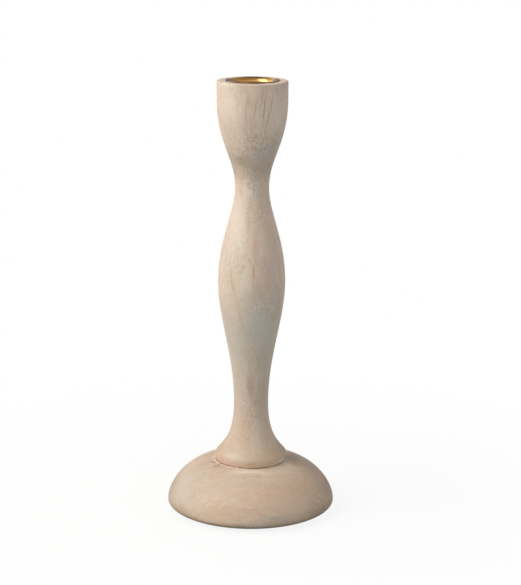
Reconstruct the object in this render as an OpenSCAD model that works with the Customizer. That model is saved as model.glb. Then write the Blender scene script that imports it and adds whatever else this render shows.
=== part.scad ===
// Turned wooden candlestick for one taper candle: a domed base, a one-piece baluster stem and a
// pressed brass candle cup. The stem's tenon is glued and screwed into the base from below, and a
// felt disc covers the screw. Millimetres, +Z up, origin at the centre of the face it stands on.

/* [Base] */
// Widest diameter of the domed base
base_d = 96.6; // [84:0.2:130]
// Height of the base, from its underside to the seat of the stem
base_h = 27.5; // [26:0.5:40]
// Height of the widest point above the underside
base_edge_h = 3.5; // [2:0.5:6]
// How far the underside's edge lies inside the widest point
base_edge_w = 6; // [2:0.5:8]
// Diameter of the flat on top of the base, where the stem's sole sits
seat_d = 37; // [30:0.5:40]
// How far the dome runs out level from the seat before it falls
dome_top_pull = 19; // [10:0.5:22]
// How far the dome's side stands upright over the widest point
dome_side_pull = 8.2; // [4:0.2:12]

/* [Foot and ankle] */
// Diameter of the stem's sole, which sits on the base
sole_d = 40; // [34:0.5:44]
// Diameter of the stem's foot where its flare runs into the bead
foot_d = 39.8; // [38:0.2:46]
// Height of the bead at the foot
foot_h = 5.3; // [3:0.1:7]
// How far the bead runs out level from the sole before it turns up
bead_low_pull = 0.8; // [0.4:0.1:3]
// How far the bead runs on in line with the flare before it turns down
bead_high_pull = 2; // [1:0.1:3]
// Angle of the flare to the vertical where it meets the bead
flare_angle = 43.5; // [30:0.5:60]
// How far the flare runs on straight above the bead
flare_pull = 9.5; // [6:0.5:14]
// Diameter of the ankle, the lower waist of the stem
ankle_d = 19.9; // [18:0.1:26]
// Height of the ankle above the foot's bead
ankle_rise = 29.7; // [26:0.1:45]
// How far the stem stays slim below the ankle
ankle_low_pull = 16; // [8:0.5:18]
// How far the stem stays slim above the ankle
ankle_high_pull = 27.5; // [10:0.5:32]

/* [Belly] */
// Largest diameter of the belly
belly_d = 38.4; // [30:0.2:50]
// Height of the belly's largest diameter above the ankle
belly_rise = 70.5; // [60:0.5:100]
// How far the belly stays full below its largest diameter
belly_low_pull = 21; // [10:0.5:30]
// How far the belly stays full above its largest diameter
belly_high_pull = 25.5; // [10:0.5:28]

/* [Neck and head] */
// Diameter of the neck, the upper waist of the stem
neck_d = 19.3; // [16:0.1:26]
// Height of the neck above the belly
neck_rise = 54.5; // [50:0.5:80]
// How far the stem stays slim below the neck
neck_low_pull = 14.5; // [8:0.5:22]
// How far the stem stays slim above the neck
neck_high_pull = 18; // [8:0.5:22]
// Diameter of the head, which holds the candle cup
head_d = 40.1; // [38:0.1:50]
// Height of the head's straight rim above the neck
head_rise = 51; // [45:0.5:70]
// How far the head stays full below its straight rim
head_pull = 26.5; // [14:0.5:28]
// Height of the head's straight rim
rim_h = 9.5; // [5:0.1:16]
// Radius of the eased edge round the top of the head
rim_ease = 0.6; // [0.4:0.1:2]

/* [Candle cup] */
// Bore of the brass cup, for a 22 mm taper candle
cup_bore_d = 22.5; // [20:0.1:24]
// Depth of the cup from its mouth to its floor
cup_depth = 23; // [16:0.5:30]
// Thickness of the brass sheet
cup_sheet_t = 0.5; // [0.4:0.1:1]
// Radius under the sheet where the bore is bent out into the flange
cup_bend_r = 2.2; // [0.3:0.1:2.8]
// Radius inside the corner between the bore and the floor
cup_corner_r = 2; // [1.8:0.1:3]
// Diameter of the flange that rests on the wood
cup_flange_d = 30.4; // [29.4:0.1:34]

/* [Joint between stem and base] */
// Diameter of the tenon under the stem
tenon_d = 16; // [12:0.5:22]
// Length of the tenon under the stem
tenon_l = 15; // [10:0.5:17]
// Outside diameter of the washer under the stem screw
washer_d = 14; // [12:0.5:18]
// Thickness of that washer
washer_t = 1; // [0.6:0.1:1.6]
// Depth of the recess in the underside that takes the washer and the screw's head
recess_depth = 5.5; // [5:0.1:7]

/* [Stem screw] */
// Diameter over the thread
stem_screw_d = 5; // [4.2:0.1:6]
// Diameter at the root of the thread
stem_screw_root_d = 3.2; // [2.6:0.1:4]
// Pitch of the thread
stem_screw_pitch = 2.2; // [1.8:0.1:2.6]
// Length under the head
stem_screw_l = 45; // [35:1:50]
// Length of the plain neck under the head
stem_screw_neck_l = 11; // [8:0.5:16]
// Diameter of the head
stem_screw_head_d = 9.6; // [8:0.1:11]
// Height of the head
stem_screw_head_h = 2.8; // [2:0.1:3.4]
// Width of the slot in the head
stem_screw_slot_w = 1.3; // [0.8:0.1:1.8]
// Depth of the slot in the head
stem_screw_slot_depth = 1.3; // [0.8:0.1:1.6]

/* [Cup screw] */
// Diameter over the thread
cup_screw_d = 3; // [2.6:0.1:3.5]
// Diameter at the root of the thread
cup_screw_root_d = 1.9; // [1.6:0.1:2.3]
// Pitch of the thread
cup_screw_pitch = 1.3; // [1:0.1:1.6]
// Length under the head
cup_screw_l = 14; // [10:0.5:20]
// Length of the plain neck under the head
cup_screw_neck_l = 3.5; // [2.5:0.5:6]
// Diameter of the head
cup_screw_head_d = 5.6; // [4.8:0.1:7]
// Height of the head
cup_screw_head_h = 1.6; // [1.2:0.1:1.7]
// Width of the slot in the head
cup_screw_slot_w = 0.9; // [0.6:0.1:1.2]
// Depth of the slot in the head
cup_screw_slot_depth = 0.8; // [0.5:0.1:1]

/* [Felt] */
// Thickness of the felt disc
felt_t = 1.5; // [0.8:0.1:3]
// Width of bare wood between the felt and the edge of the underside
felt_margin = 3; // [1:0.5:8]

/* [Clearances] */
// Glue line round the tenon
glue_gap = 0.1; // [0.05:0.05:0.3]
// Room under the end of the tenon for spare glue
tenon_relief = 1; // [0.5:0.1:2]
// Gap round the cup in its bore
cup_gap = 0.1; // [0.05:0.05:0.3]
// Gap round a screw in its hole
screw_gap = 0.1; // [0.05:0.05:0.3]
// Room in the wood past the tip of a screw
screw_tip_room = 1; // [0.5:0.1:2]
// Gap round the washer in its recess
washer_gap = 0.5; // [0.2:0.1:1]

/* [Hidden] */
$fn = 96;

wood = "#d9c4ab";
brass = "#c9963f";
steel = "#b9bcc0";
felt = "#4a4643";

// Straight pieces in a curve and in an arc of an outline
curve_steps = 24;
arc_steps = 6;
// Handle length of a curve that draws a quarter of an ellipse, as a share of its half axis
quarter_share = 0.5523;
// How far a cut runs past the face that it opens
overcut = 1;
// Steps in a turn of a thread, share of its pitch that a tooth takes and share of its radius at the tip
thread_sides = 12;
tooth_share = 0.55;
tip_share = 0.12;

// Heights up the stick, each built on the one below
underside_z = felt_t;
edge_z = underside_z + base_edge_h;
seat_z = underside_z + base_h;
foot_z = seat_z + foot_h;
ankle_z = foot_z + ankle_rise;
belly_z = ankle_z + belly_rise;
neck_z = belly_z + neck_rise;
head_z = neck_z + head_rise;
stem_top_z = head_z + rim_h;
cup_top_z = stem_top_z + cup_sheet_t;
cup_floor_z = cup_top_z - cup_depth;
tenon_end_z = seat_z - tenon_l;
mortise_end_z = tenon_end_z - tenon_relief;
recess_top_z = underside_z + recess_depth;
stem_screw_z = recess_top_z - washer_t;

// Radius of the cup's lip, over the bend
cup_lip_r = cup_bend_r + cup_sheet_t;

// Radii of holes that take another piece
cup_seat_r = cup_bore_d / 2 + cup_sheet_t + cup_gap;
stem_screw_hole_r = stem_screw_d / 2 + screw_gap;
cup_screw_hole_r = cup_screw_d / 2 + screw_gap;

// Points of a cubic curve from p to q, without p itself. Its handles reach from p and from q
function curve(p, p_handle, q, q_handle) = [
    for (i = [1 : curve_steps])
        let (t = i / curve_steps, u = 1 - t)
            u * u * u * p + 3 * u * u * t * (p + p_handle)
            + 3 * u * t * t * (q + q_handle) + t * t * t * q
];

// Points of a circular arc, from angle a0 to angle a1
function arc(centre, r, a0, a1) = [
    for (i = [0 : arc_steps])
        let (a = a0 + (a1 - a0) * i / arc_steps)
            centre + r * [cos(a), sin(a)]
];

// Outline of the base, from the underside's centre round to the seat's centre
function base_outline() =
    let (
        underside_edge = [base_d / 2 - base_edge_w, underside_z],
        widest = [base_d / 2, edge_z],
        seat_edge = [seat_d / 2, seat_z]
    )
    concat(
        [[0, underside_z], underside_edge],
        curve(
            underside_edge, [quarter_share * base_edge_w, 0],
            widest, [0, -quarter_share * base_edge_h]
        ),
        curve(widest, [0, dome_side_pull], seat_edge, [dome_top_pull, 0]),
        [[0, seat_z]]
    );

// Outline of the stem above its tenon, from the foot up to the centre of the head
function stem_outline() =
    let (
        sole_edge = [sole_d / 2, seat_z],
        foot = [foot_d / 2, foot_z],
        ankle = [ankle_d / 2, ankle_z],
        belly = [belly_d / 2, belly_z],
        neck = [neck_d / 2, neck_z],
        head = [head_d / 2, head_z],
        flare_way = [-sin(flare_angle), cos(flare_angle)]
    )
    concat(
        [[0, seat_z], sole_edge],
        curve(sole_edge, [bead_low_pull, 0], foot, -bead_high_pull * flare_way),
        curve(foot, flare_pull * flare_way, ankle, [0, -ankle_low_pull]),
        curve(ankle, [0, ankle_high_pull], belly, [0, -belly_low_pull]),
        curve(belly, [0, belly_high_pull], neck, [0, -neck_low_pull]),
        curve(neck, [0, neck_high_pull], head, [0, -head_pull]),
        arc([head_d / 2 - rim_ease, stem_top_z - rim_ease], rim_ease, 0, 90),
        [[0, stem_top_z]]
    );

// Outline of the cup's sheet, from the hole in its floor up the inside, round the flange and back
function cup_outline() =
    let (
        bore_r = cup_bore_d / 2,
        corner = [bore_r - cup_corner_r, cup_floor_z + cup_corner_r],
        lip = [bore_r + cup_lip_r, cup_top_z - cup_lip_r],
        flange_edge = [(cup_flange_d - cup_sheet_t) / 2, cup_top_z - cup_sheet_t / 2]
    )
    concat(
        [[cup_screw_hole_r, cup_floor_z]],
        arc(corner, cup_corner_r, -90, 0),
        arc(lip, cup_lip_r, 180, 90),
        arc(flange_edge, cup_sheet_t / 2, 90, -90),
        arc(lip, cup_bend_r, 90, 180),
        arc(corner, cup_corner_r + cup_sheet_t, 0, -90),
        [[cup_screw_hole_r, cup_floor_z - cup_sheet_t]]
    );

// Radius of the sphere that a screw's domed head is cut from
function dome_r(d, h) = (d * d / 4 + h * h) / (2 * h);

// A solid along the stick's axis, from height z0 up to height z1
module rod(r, z0, z1) {
    translate([0, 0, z0])
        cylinder(r = r, h = z1 - z0);
}

// A slotted screw head, domed downwards from z = 0
module screw_head(d, h, slot_w, slot_depth) {
    difference() {
        rotate_extrude()
            intersection() {
                translate([0, -h])
                    square([d / 2, h]);
                translate([0, dome_r(d, h) - h])
                    circle(r = dome_r(d, h));
            }
        translate([-d, -slot_w / 2, -h - overcut])
            cube([2 * d, slot_w, slot_depth + overcut]);
    }
}

// A helical thread on a solid core, from z = 0 up to a point at height l
module thread(crest_r, root_r, pitch, l) {
    tooth = tooth_share * pitch;
    tip_l = 2 * crest_r;
    last = floor((l / pitch - 1) * thread_sides);

    // Each step of the helix has a point at the tooth's lower root, its crest and its upper root
    function helix_z(i) = pitch * i / thread_sides;
    function radius(r, z) = r * max(tip_share, min(1, (l - z) / tip_l));
    function place(i, r, lift) =
        let (z = helix_z(i) + lift, a = 360 * i / thread_sides)
            [radius(r, z) * cos(a), radius(r, z) * sin(a), z];
    section = [[root_r, 0], [crest_r, tooth / 2], [root_r, tooth]];
    points = concat(
        [for (i = [0 : last], s = section) place(i, s[0], s[1])],
        [for (i = [last + 1 : last + thread_sides]) place(i, root_r, 0)],
        [[0, 0, pitch / 2], [0, 0, helix_z(last) + (pitch + tooth) / 2]]
    );

    // Where those points are in the list, with one turn of lower roots to close the end
    function low(i) = i <= last ? 3 * i : 2 * last + 2 + i;
    function crest(i) = 3 * i + 1;
    function high(i) = 3 * i + 2;
    start_point = len(points) - 2;
    end_point = len(points) - 1;

    function quad(a, b, c, d) = [[a, b, c], [a, c, d]];
    faces = concat(
        [for (i = [0 : last - 1], f = quad(low(i), crest(i), crest(i + 1), low(i + 1))) f],
        [for (i = [0 : last - 1], f = quad(crest(i), high(i), high(i + 1), crest(i + 1))) f],
        [
            for (i = [0 : last - 1])
                let (above = low(i + thread_sides), next_above = low(i + thread_sides + 1))
                    for (f = quad(high(i), above, next_above, high(i + 1))) f
        ],
        [for (i = [0 : thread_sides - 1]) [start_point, low(i), low(i + 1)]],
        [
            [start_point, low(thread_sides), high(0)],
            [start_point, high(0), crest(0)],
            [start_point, crest(0), low(0)]
        ],
        [for (i = [last : last + thread_sides - 1]) [end_point, low(i + 1), low(i)]],
        [
            [end_point, high(last), low(last + thread_sides)],
            [end_point, crest(last), high(last)],
            [end_point, low(last), crest(last)]
        ]
    );
    polyhedron(points, faces);
}

// The shank of a wood screw, up from z = 0 under the head: a plain neck, then the thread, which
// starts one turn inside the neck
module screw_shank(d, root_d, pitch, l, neck_l) {
    rod((d + root_d) / 4, 0, neck_l);
    translate([0, 0, neck_l - pitch])
        thread(d / 2, root_d / 2, pitch, l - neck_l + pitch);
}

module base() {
    color(wood)
        difference() {
            rotate_extrude()
                polygon(base_outline());
            rod(tenon_d / 2 + glue_gap, mortise_end_z, seat_z + overcut);
            rod(stem_screw_hole_r, underside_z - overcut, seat_z);
            rod(washer_d / 2 + washer_gap, underside_z - overcut, recess_top_z);
        }
}

module stem() {
    color(wood)
        difference() {
            union() {
                rotate_extrude()
                    polygon(stem_outline());
                rod(tenon_d / 2, tenon_end_z, seat_z + overcut);
            }
            rod(cup_seat_r, cup_floor_z - cup_sheet_t, stem_top_z + overcut);
            translate([0, 0, stem_top_z - cup_bend_r])
                cylinder(r1 = cup_seat_r, r2 = cup_seat_r + cup_bend_r, h = cup_bend_r);
            rod(cup_screw_hole_r, cup_floor_z - cup_screw_l - screw_tip_room, cup_floor_z);
            rod(stem_screw_hole_r, tenon_end_z - overcut, stem_screw_z + stem_screw_l + screw_tip_room);
        }
}

module candle_cup() {
    color(brass)
        rotate_extrude()
            polygon(cup_outline());
}

module cup_screw() {
    color(brass)
        translate([0, 0, cup_floor_z])
            rotate([180, 0, 0]) {
                screw_head(cup_screw_head_d, cup_screw_head_h, cup_screw_slot_w, cup_screw_slot_depth);
                screw_shank(cup_screw_d, cup_screw_root_d, cup_screw_pitch, cup_screw_l, cup_screw_neck_l);
            }
}

module stem_screw() {
    color(steel)
        translate([0, 0, stem_screw_z]) {
            screw_head(stem_screw_head_d, stem_screw_head_h, stem_screw_slot_w, stem_screw_slot_depth);
            screw_shank(stem_screw_d, stem_screw_root_d, stem_screw_pitch, stem_screw_l, stem_screw_neck_l);
        }
}

module stem_washer() {
    color(steel)
        difference() {
            rod(washer_d / 2, stem_screw_z, recess_top_z);
            rod(stem_screw_hole_r, stem_screw_z - overcut, recess_top_z + overcut);
        }
}

module felt_pad() {
    color(felt)
        rod(base_d / 2 - base_edge_w - felt_margin, 0, felt_t);
}

base();
stem();
candle_cup();
cup_screw();
stem_screw();
stem_washer();
felt_pad();
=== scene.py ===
# %% [markdown]
# # A turned candlestick in bleached wood
# This lesson dresses a packed candlestick: a domed base, a baluster stem and a brass cup for one
# taper candle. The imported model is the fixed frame. Every piece made here sits where the frame
# says, in metres, with +Z up and the origin under the middle of the base.

# %% Load the frame and keep its box
import math

import bmesh
import bpy
from mathutils import Euler, Matrix, Vector


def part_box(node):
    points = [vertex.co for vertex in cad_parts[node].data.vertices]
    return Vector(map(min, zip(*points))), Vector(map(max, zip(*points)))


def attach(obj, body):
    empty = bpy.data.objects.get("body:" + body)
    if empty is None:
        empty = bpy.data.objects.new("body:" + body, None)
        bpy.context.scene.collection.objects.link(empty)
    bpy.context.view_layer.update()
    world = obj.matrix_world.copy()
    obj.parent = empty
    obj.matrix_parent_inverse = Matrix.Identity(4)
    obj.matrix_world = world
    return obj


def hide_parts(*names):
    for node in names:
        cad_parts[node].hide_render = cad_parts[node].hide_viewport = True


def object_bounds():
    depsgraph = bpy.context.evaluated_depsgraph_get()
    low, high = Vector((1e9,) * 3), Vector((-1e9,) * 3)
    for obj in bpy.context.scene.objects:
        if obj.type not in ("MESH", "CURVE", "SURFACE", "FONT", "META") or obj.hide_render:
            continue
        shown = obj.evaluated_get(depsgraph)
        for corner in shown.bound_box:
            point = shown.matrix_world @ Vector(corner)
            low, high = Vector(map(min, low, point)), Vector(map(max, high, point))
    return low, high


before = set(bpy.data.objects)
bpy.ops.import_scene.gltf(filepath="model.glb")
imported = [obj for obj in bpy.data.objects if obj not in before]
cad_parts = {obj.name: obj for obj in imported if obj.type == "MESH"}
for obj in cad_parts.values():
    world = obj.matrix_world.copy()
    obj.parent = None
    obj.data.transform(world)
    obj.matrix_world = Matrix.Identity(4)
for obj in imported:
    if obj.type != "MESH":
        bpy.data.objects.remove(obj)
cad_low, cad_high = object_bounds()
MM = 0.001
print("frame holds", sorted(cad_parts), "and is", round(cad_high.z / MM, 1), "mm high")

# %% [markdown]
# ## The camera
# The picture was taken from a little above, about a metre away, with a long lens. Two facts fix
# such a camera: how open the ellipse of the base looks, and how closed the ellipse of the mouth
# looks. Both were solved for distance, height and tilt, so the camera is written as plain sizes.

# %% Camera
FRAME_HEIGHT_PX = 585
FOCAL_PX = 1837
camera_away = 1021.5 * MM
camera_up = 371.8 * MM
camera_side = 5.1 * MM
camera_tilt = math.radians(13.41)
camera_roll = math.radians(0.34)

scene = bpy.context.scene
scene.view_settings.view_transform = "Standard"
lens = bpy.data.cameras.new("camera")
lens.sensor_width = 36
lens.lens = lens.sensor_width * FOCAL_PX / FRAME_HEIGHT_PX
camera = bpy.data.objects.new("camera", lens)
camera.location = (camera_side, -camera_away, camera_up)
camera.rotation_euler = Euler((math.radians(90) - camera_tilt, 0, 0))
camera.rotation_euler.rotate_axis("Z", camera_roll)
scene.collection.objects.link(camera)
scene.camera = camera
print("lens of", round(lens.lens, 1), "mm")

# %% [markdown]
# ## Helpers for every node tree
# Materials and Geometry Nodes are both trees of nodes. One function adds a node, sets its
# properties, fills its sockets with values or links, and gives back its outputs. Colours are written
# as sRGB hex, as a paint card gives them, and turned to linear light here. Every finish starts from
# an empty tree, measures the piece in millimetres on its Object coordinates, and lays one colour
# over another, each through a mask. Every tree that makes a shape starts with named inputs and ends
# with a real mesh in its material.

# %% Node and colour helpers
def add(tree, kind, inputs=None, **settings):
    node = tree.nodes.new(kind)
    for name, value in settings.items():
        setattr(node, name, value)
    for key, value in (inputs or {}).items():
        if isinstance(value, bpy.types.NodeSocket):
            tree.links.new(value, node.inputs[key])
        else:
            node.inputs[key].default_value = value
    return node.outputs


def linear(hex_colour):
    parts = [int(hex_colour[i:i + 2], 16) / 255 for i in (1, 3, 5)]
    return tuple(c / 12.92 if c <= 0.04045 else ((c + 0.055) / 1.055) ** 2.4 for c in parts) + (1,)


def blank_material(name):
    material = bpy.data.materials.new(name)
    material.use_nodes = True
    material.node_tree.nodes.clear()
    return material, material.node_tree


def in_millimetres(tree):
    place = add(tree, "ShaderNodeTexCoord")["Object"]
    return add(tree, "ShaderNodeVectorMath", {0: place, "Scale": 1 / MM}, operation="SCALE")[0]


def layered(tree, tone, layers):
    for colour, mask in layers:
        laid = add(tree, "ShaderNodeMix", {0: mask, 6: tone, 7: linear(colour)}, data_type="RGBA")
        tone = laid[2]
    return tone


def blank_shape_tree(name, inputs, result):
    tree = bpy.data.node_groups.new(name, "GeometryNodeTree")
    for title, kind in inputs.items():
        tree.interface.new_socket(title, in_out="INPUT", socket_type="NodeSocket" + kind)
    tree.interface.new_socket(result, in_out="OUTPUT", socket_type="NodeSocketGeometry")
    return tree, add(tree, "NodeGroupInput")


def finish_shape(tree, shape, given, result):
    real = add(tree, "GeometryNodeRealizeInstances", {"Geometry": shape})[0]
    done = add(tree, "GeometryNodeSetMaterial", {"Geometry": real, "Material": given["Finish"]})[0]
    add(tree, "NodeGroupOutput", {result: done})


print("white is", linear("#FFFFFF"))

# %% [markdown]
# ## Light and floor
# The stick stands in a white room, lit by a broad window at the upper left, brightest in its middle,
# and a faint warm light that catches the left edge. The world is white to the camera. As a light it
# has white walls and a dim ceiling, so that the shapes keep their shading. Mirrors see white walls,
# darker ones on the right and a dim, warm ceiling, because a metal with nothing dark to mirror looks
# like paint. The floor looks white too, but as a light it is a dull grey, which keeps the undersides
# of the turned shapes dark. Near the stick it still takes a soft shadow.

# %% World
wall_light, ceiling_light = 1.08, 0.38
wall_shine, ceiling_shine = 1.0, 0.36
ceiling_starts, ceiling_full = 0.2, 0.6
mirrored_starts, mirrored_full = 0.3, 0.8
dark_side_shine = 0.42
world = bpy.data.worlds.new("white room")
world.use_nodes = True
scene.world = world
tree = world.node_tree
tree.nodes.clear()
ray = add(tree, "ShaderNodeLightPath")
way = add(tree, "ShaderNodeTexCoord")["Generated"]
way = add(tree, "ShaderNodeSeparateXYZ", {0: way})
ceiling = add(
    tree, "ShaderNodeMapRange", {"Value": way["Z"], "From Min": ceiling_starts, "From Max": ceiling_full}
)["Result"]
mirrored = add(
    tree, "ShaderNodeMapRange", {"Value": way["Z"], "From Min": mirrored_starts, "From Max": mirrored_full}
)["Result"]
light = add(tree, "ShaderNodeMix", {0: ceiling, 2: wall_light, 3: ceiling_light}, data_type="FLOAT")[0]
sides = add(
    tree, "ShaderNodeMapRange", {"Value": way["X"], "To Min": wall_shine, "To Max": dark_side_shine}
)["Result"]
shine = add(tree, "ShaderNodeMix", {0: mirrored, 2: sides, 3: ceiling_shine}, data_type="FLOAT")[0]
seen = add(
    tree, "ShaderNodeMath", {0: ray["Is Camera Ray"], 1: ray["Is Transmission Ray"]}, operation="MAXIMUM"
)[0]
strength = add(tree, "ShaderNodeMix", {0: ray["Is Glossy Ray"], 2: light, 3: shine}, data_type="FLOAT")[0]
strength = add(tree, "ShaderNodeMix", {0: seen, 2: strength, 3: 1.0}, data_type="FLOAT")[0]
warm = add(tree, "ShaderNodeMath", {0: mirrored, 1: ray["Is Glossy Ray"]}, operation="MULTIPLY")[0]
tint = layered(tree, linear("#FFFFFF"), [("#FFD89E", warm)])
sky = add(tree, "ShaderNodeBackground", {"Color": tint, "Strength": strength})
add(tree, "ShaderNodeOutputWorld", {"Surface": sky[0]})
print("walls light with", wall_light, "and the ceiling with", ceiling_light)

# %% Floor
floor_half = 12.0
shadow_share = 0.12
fade_from, fade_to = 70, 300
mesh = bpy.data.meshes.new("floor")
corners = [(-1, -1), (1, -1), (1, 1), (-1, 1)]
mesh.from_pydata([(x * floor_half, y * floor_half, 0) for x, y in corners], [], [(0, 1, 2, 3)])
floor = bpy.data.objects.new("floor", mesh)
scene.collection.objects.link(floor)

paint, tree = blank_material("white floor, painted")
away = add(tree, "ShaderNodeVectorMath", {0: in_millimetres(tree)}, operation="LENGTH")["Value"]
shadow = add(
    tree,
    "ShaderNodeMapRange",
    {"Value": away, "From Min": fade_from, "From Max": fade_to, "To Min": shadow_share, "To Max": 0},
    interpolation_type="SMOOTHSTEP",
)["Result"]
glow = add(tree, "ShaderNodeEmission", {"Color": linear("#FFFFFF"), "Strength": 1.0})[0]
white = add(tree, "ShaderNodeBsdfDiffuse", {"Color": linear("#FFFFFF")})[0]
dull = add(tree, "ShaderNodeBsdfDiffuse", {"Color": linear("#90948B")})[0]
shown = add(tree, "ShaderNodeMixShader", {0: shadow, 1: glow, 2: white})[0]
ray = add(tree, "ShaderNodeLightPath")
seen = add(
    tree, "ShaderNodeMath", {0: ray["Is Camera Ray"], 1: ray["Is Glossy Ray"]}, operation="MAXIMUM"
)[0]
seen = add(tree, "ShaderNodeMath", {0: seen, 1: ray["Is Transmission Ray"]}, operation="MAXIMUM")[0]
both = add(tree, "ShaderNodeMixShader", {0: seen, 1: dull, 2: shown})[0]
add(tree, "ShaderNodeOutputMaterial", {"Surface": both})
mesh.materials.append(paint)
print("floor", 2 * floor_half, "m wide")

# %% Lamps
LAMPS = {
    # name: turn round the stick from the front, height angle, distance, size, watts, colour
    "window_middle": (-69, 37, 1.4, 1.0, 5.0, "#FFF8EF"),
    "window": (-69, 37, 1.38, 1.4, 9.7, "#FFF8EF"),
    "warm_edge": (-125, 20, 1.2, 0.5, 0.4, "#FFC896"),
}
aim = Vector((0, 0, 0.5 * cad_high.z))
for name, (turn, rise, distance, size, watts, colour) in LAMPS.items():
    light = bpy.data.lights.new(name, "AREA")
    light.shape = "DISK"
    light.size = size
    light.energy = watts
    light.color = linear(colour)[:3]
    lamp = bpy.data.objects.new(name, light)
    turn, rise = math.radians(turn), math.radians(rise)
    back = Vector((math.sin(turn) * math.cos(rise), -math.cos(turn) * math.cos(rise), math.sin(rise)))
    lamp.location = aim + back * distance
    lamp.rotation_euler = back.to_track_quat("Z", "Y").to_euler()
    scene.collection.objects.link(lamp)
    print(name, "lamp of", watts, "W")

# %% [markdown]
# ## A lathe made of nodes
# The base, the stem, the brass cup and the felt are all round about one axis. The real wood comes off
# a lathe, the cup out of a press, and the felt is cut with a round knife. Blender's Screw modifier
# could turn an outline too, but a node tree can also leave the slight unevenness of hand sanding, so
# one tree does all four. It takes an outline curve in the XZ plane, lays a grid round the axis, one
# row for each point of the outline, and welds the seam and the poles.

# %% Lathe tree
SAME_POINT = 1e-6
SHARP_ANGLE = math.radians(32)


def lathe_tree():
    inputs = {
        "Outline": "Geometry",
        "Steps round": "Int",
        "Sanding depth": "Float",
        "Sanding width": "Float",
        "Seed": "Int",
        "Finish": "Material",
    }
    tree, given = blank_shape_tree("turn on the lathe", inputs, "Turned piece")

    # One row of a grid for each point of the outline, and one column for each step round
    points = add(
        tree, "GeometryNodeCurveToPoints", {"Curve": given["Outline"]}, mode="EVALUATED"
    )["Points"]
    rows = add(
        tree, "GeometryNodeAttributeDomainSize", {"Geometry": points}, component="POINTCLOUD"
    )["Point Count"]
    steps = given["Steps round"]
    columns = add(tree, "ShaderNodeMath", {0: steps, 1: 1.0}, operation="ADD")[0]
    grid = add(tree, "GeometryNodeMeshGrid", {"Vertices X": rows, "Vertices Y": columns})["Mesh"]
    index = add(tree, "GeometryNodeInputIndex")[0]
    row = add(tree, "ShaderNodeMath", {0: index, 1: columns}, operation="DIVIDE")[0]
    row = add(tree, "ShaderNodeMath", {0: row}, operation="FLOOR")[0]
    column = add(tree, "ShaderNodeMath", {0: index, 1: columns}, operation="MODULO")[0]
    turn = add(tree, "ShaderNodeMath", {0: column, 1: steps}, operation="DIVIDE")[0]
    turn = add(tree, "ShaderNodeMath", {0: turn, 1: math.tau}, operation="MULTIPLY")[0]

    # Each grid point goes to its outline point, turned round the axis
    position = add(tree, "GeometryNodeInputPosition")[0]
    spot = add(
        tree,
        "GeometryNodeSampleIndex",
        {"Geometry": points, "Value": position, "Index": row},
        data_type="FLOAT_VECTOR",
    )["Value"]
    at_angle = add(
        tree,
        "ShaderNodeVectorRotate",
        {"Vector": spot, "Axis": (0, 0, 1), "Angle": turn},
        rotation_type="AXIS_ANGLE",
    )[0]

    # Sanding takes a little off the radius, here more and there less
    patch = add(
        tree, "ShaderNodeVectorMath", {0: at_angle, 1: given["Sanding width"]}, operation="DIVIDE"
    )[0]
    uneven = add(
        tree,
        "ShaderNodeTexNoise",
        {"Vector": patch, "W": given["Seed"], "Scale": 1.0, "Detail": 2.0},
        noise_dimensions="4D",
    )[0]
    depth = given["Sanding depth"]
    cut = add(tree, "ShaderNodeMath", {0: uneven, 1: depth}, operation="MULTIPLY")[0]
    radius = add(tree, "ShaderNodeSeparateXYZ", {0: spot})["X"]
    safe = add(tree, "ShaderNodeMath", {0: radius, 1: SAME_POINT}, operation="MAXIMUM")[0]
    left = add(tree, "ShaderNodeMath", {0: safe, 1: cut}, operation="SUBTRACT")[0]
    left = add(tree, "ShaderNodeMath", {0: left, 1: 0.0}, operation="MAXIMUM")[0]
    share = add(tree, "ShaderNodeMath", {0: left, 1: safe}, operation="DIVIDE")[0]
    squeeze = add(tree, "ShaderNodeCombineXYZ", {"X": share, "Y": share, "Z": 1.0})[0]
    final = add(tree, "ShaderNodeVectorMath", {0: at_angle, 1: squeeze}, operation="MULTIPLY")[0]

    # Weld the seam and the poles, and keep only the real corners sharp
    turned = add(tree, "GeometryNodeSetPosition", {"Geometry": grid, "Position": final})[0]
    turned = add(tree, "GeometryNodeMergeByDistance", {"Geometry": turned, "Distance": SAME_POINT})[0]
    turned = add(tree, "GeometryNodeFlipFaces", {"Mesh": turned})[0]
    turned = add(tree, "GeometryNodeSetShadeSmooth", {"Geometry": turned, "Shade Smooth": True})[0]
    bend = add(tree, "GeometryNodeInputMeshEdgeAngle")["Unsigned Angle"]
    sharp = add(tree, "ShaderNodeMath", {0: bend, 1: SHARP_ANGLE}, operation="GREATER_THAN")[0]
    turned = add(
        tree,
        "GeometryNodeSetShadeSmooth",
        {"Geometry": turned, "Selection": sharp, "Shade Smooth": False},
        domain="EDGE",
    )[0]
    finish_shape(tree, turned, given, "Turned piece")
    return tree


lathe = lathe_tree()
print("lathe tree of", len(lathe.nodes), "nodes")

# %% [markdown]
# ## Running a tree
# A modifier's inputs are set by each socket's identifier, before the object is first evaluated.
# The result is copied to a plain mesh, and the working object goes.

# %% Tree runner
def run_tree(name, host, tree, **values):
    modifier = host.modifiers.new(name, "NODES")
    modifier.node_group = tree
    for socket in tree.interface.items_tree:
        key = socket.name.lower().replace(" ", "_")
        if socket.in_out == "INPUT" and key in values:
            modifier[socket.identifier] = values[key]
    scene.collection.objects.link(host)
    bpy.context.view_layer.update()
    seen = host.evaluated_get(bpy.context.evaluated_depsgraph_get())
    made = bpy.data.meshes.new_from_object(seen)
    made.name = name
    bpy.data.objects.remove(host)
    piece = bpy.data.objects.new(name, made)
    scene.collection.objects.link(piece)
    made.calc_loop_triangles()
    print(name, "has", len(made.loop_triangles), "triangles")
    return piece


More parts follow.
